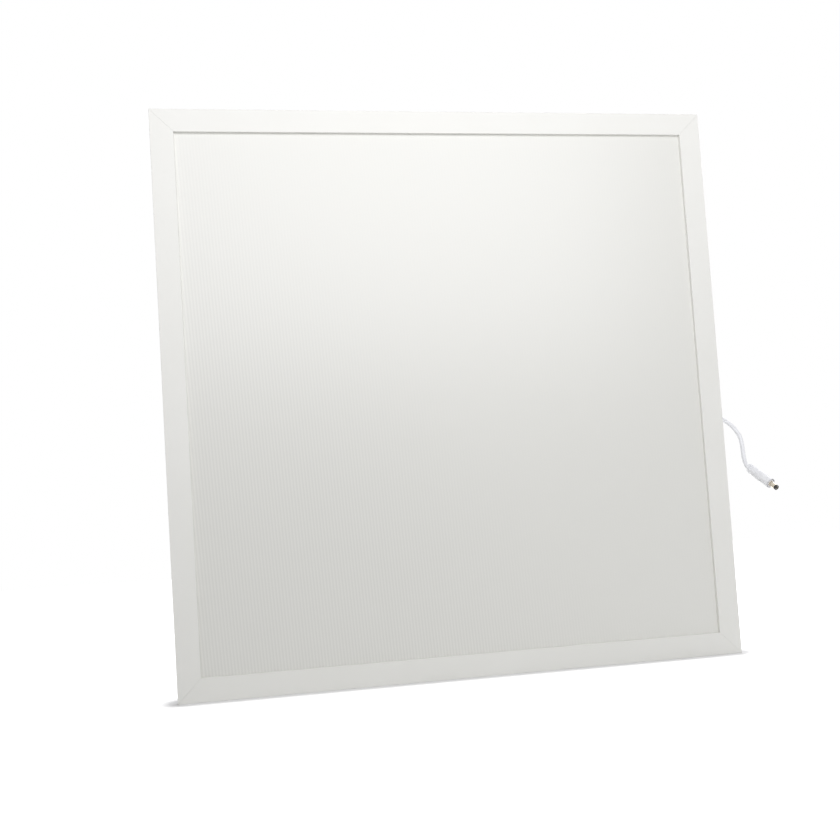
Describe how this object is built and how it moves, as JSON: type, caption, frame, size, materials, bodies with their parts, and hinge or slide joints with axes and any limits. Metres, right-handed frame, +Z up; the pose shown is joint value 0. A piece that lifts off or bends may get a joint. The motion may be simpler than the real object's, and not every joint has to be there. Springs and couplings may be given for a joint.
{
  "type": "led panel light",
  "caption": "Slim square edge-lit LED ceiling panel with a mitred white frame, a prismatic diffuser and a short DC lead.",
  "frame": {"origin": "middle of the back sheet's outer face, where whatever holds the panel meets it", "axes": "+Z up and +X to the right, seen from the lit side; the light leaves towards -Y, and the back faces +Y"},
  "size_m": [0.633, 0.0633, 0.595],
  "materials": {
    "powder_coated_aluminium": "satin",
    "coated_back_sheet": "satin",
    "prismatic_diffuser": "satin",
    "acrylic_guide": "polished",
    "white_film": "matte",
    "foam": "matte",
    "zinc_plated_steel": "gloss",
    "strip_board": "satin",
    "silicone": "satin",
    "white_abs": "satin",
    "black_rubber": "matte",
    "white_pvc": "satin",
    "red_insulation": "satin",
    "black_insulation": "satin",
    "black_sleeve": "satin",
    "plated_contact": "gloss",
    "black_insulator": "satin"
  },
  "bodies": {
    "root": {"back_screw_bottom_1": "zinc_plated_steel", "back_screw_bottom_2": "zinc_plated_steel", "back_screw_bottom_3": "zinc_plated_steel", "back_screw_bottom_4": "zinc_plated_steel", "back_screw_bottom_5": "zinc_plated_steel", "back_screw_left_1": "zinc_plated_steel", "back_screw_left_2": "zinc_plated_steel", "back_screw_left_3": "zinc_plated_steel", "back_screw_left_4": "zinc_plated_steel", "back_screw_left_5": "zinc_plated_steel", "back_screw_right_1": "zinc_plated_steel", "back_screw_right_2": "zinc_plated_steel", "back_screw_right_3": "zinc_plated_steel", "back_screw_right_4": "zinc_plated_steel", "back_screw_right_5": "zinc_plated_steel", "back_screw_top_1": "zinc_plated_steel", "back_screw_top_2": "zinc_plated_steel", "back_screw_top_3": "zinc_plated_steel", "back_screw_top_4": "zinc_plated_steel", "back_screw_top_5": "zinc_plated_steel", "back_sheet": "coated_back_sheet", "corner_key_bottom_left": "zinc_plated_steel", "corner_key_bottom_right": "zinc_plated_steel", "corner_key_top_left": "zinc_plated_steel", "corner_key_top_right": "zinc_plated_steel", "cover_screw_1": "zinc_plated_steel", "cover_screw_2": "zinc_plated_steel", "diffuser_sheet": "prismatic_diffuser", "foam_pad": "foam", "frame_rail_bottom": "powder_coated_aluminium", "frame_rail_left": "powder_coated_aluminium", "frame_rail_right": "powder_coated_aluminium", "frame_rail_top": "powder_coated_aluminium", "guide_block_bottom_1": "silicone", "guide_block_bottom_2": "silicone", "guide_block_top_1": "silicone", "guide_block_top_2": "silicone", "lead_cord": "white_pvc", "lead_core_black": "black_insulation", "lead_core_red": "red_insulation", "led_strip_left": "strip_board", "led_strip_right": "strip_board", "light_guide_plate": "acrylic_guide", "link_wire_black": "black_insulation", "link_wire_red": "red_insulation", "plug_barrel": "plated_contact", "plug_body": "white_pvc", "plug_contact": "plated_contact", "plug_insulator": "black_insulator", "reflector_film": "white_film", "splice_sleeve_black": "black_sleeve", "splice_sleeve_red": "red_insulation", "strain_relief": "white_pvc", "supply_wire_black": "black_insulation", "supply_wire_red": "red_insulation", "wire_grommet": "black_rubber", "wiring_cover": "white_abs"}
  },
  "joints": []
}
